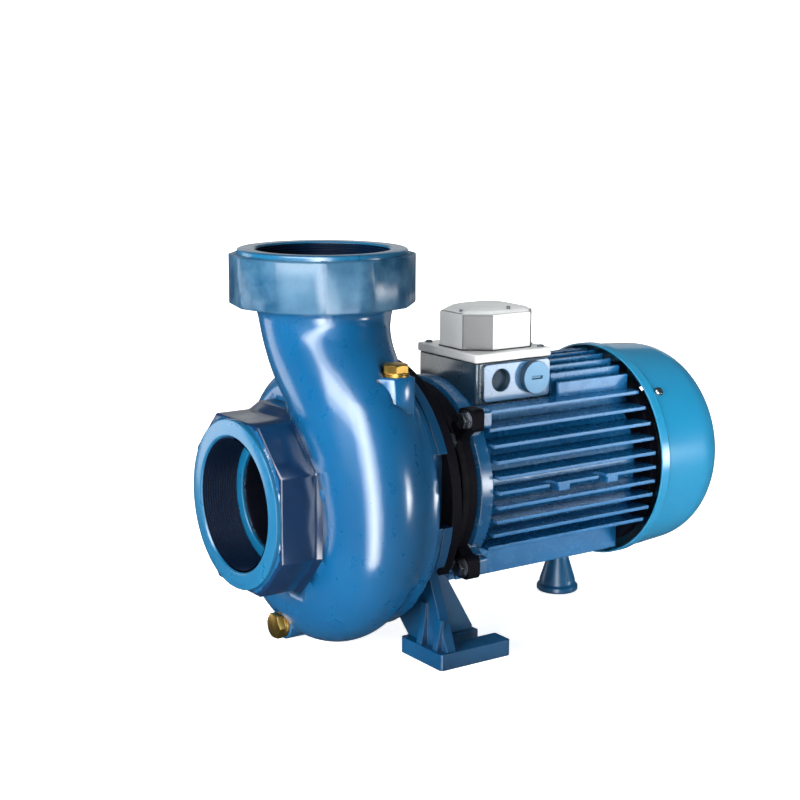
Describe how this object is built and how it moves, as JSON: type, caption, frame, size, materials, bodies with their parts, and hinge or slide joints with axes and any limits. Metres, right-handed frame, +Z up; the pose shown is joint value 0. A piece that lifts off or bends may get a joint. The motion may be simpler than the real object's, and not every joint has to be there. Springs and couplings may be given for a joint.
{
  "type": "close-coupled centrifugal pump",
  "caption": "Blue enamelled close-coupled centrifugal water pump with volute casing, threaded suction and discharge ports, finned motor and grey terminal box lid.",
  "frame": {"origin": "on the floor, midway between the anchor slots of the two front foot pads", "axes": "+X along the shaft from the suction port to the fan cover, +Z up, through the discharge port"},
  "size_m": [0.48, 0.2541, 0.3416],
  "materials": {
    "casing_paint": "gloss",
    "motor_paint": "gloss",
    "black_paint": "satin",
    "steel": "satin",
    "zinc": "satin",
    "brass": "satin",
    "cast_iron": "rough",
    "rubber": "matte",
    "lid_grey": "satin",
    "fan_plastic": "matte",
    "entry_plastic": "satin"
  },
  "bodies": {
    "root": {"volute_casing": "casing_paint", "priming_plug": "brass", "priming_plug_washer": "brass", "drain_plug": "brass", "drain_plug_washer": "brass", "casing_cover": "casing_paint", "shaft_seal": "steel", "impeller": "cast_iron", "impeller_nut": "zinc", "pump_shaft": "steel", "lantern_bracket": "black_paint", "casing_bolts": "zinc", "motor_bolts": "zinc", "fan_cover_screws": "zinc", "terminal_lid_screws": "zinc", "front_foot": "casing_paint", "motor_front_shield": "motor_paint", "stator_housing": "motor_paint", "motor_rear_shield": "black_paint", "cooling_fan": "fan_plastic", "fan_cover": "casing_paint", "terminal_box_base": "motor_paint", "cable_entry_plug": "entry_plastic", "cable_entry_knockout": "entry_plastic", "terminal_box_gasket": "rubber", "terminal_lid_flange": "lid_grey", "terminal_lid_dome": "lid_grey", "rear_foot": "casing_paint"}
  },
  "joints": []
}
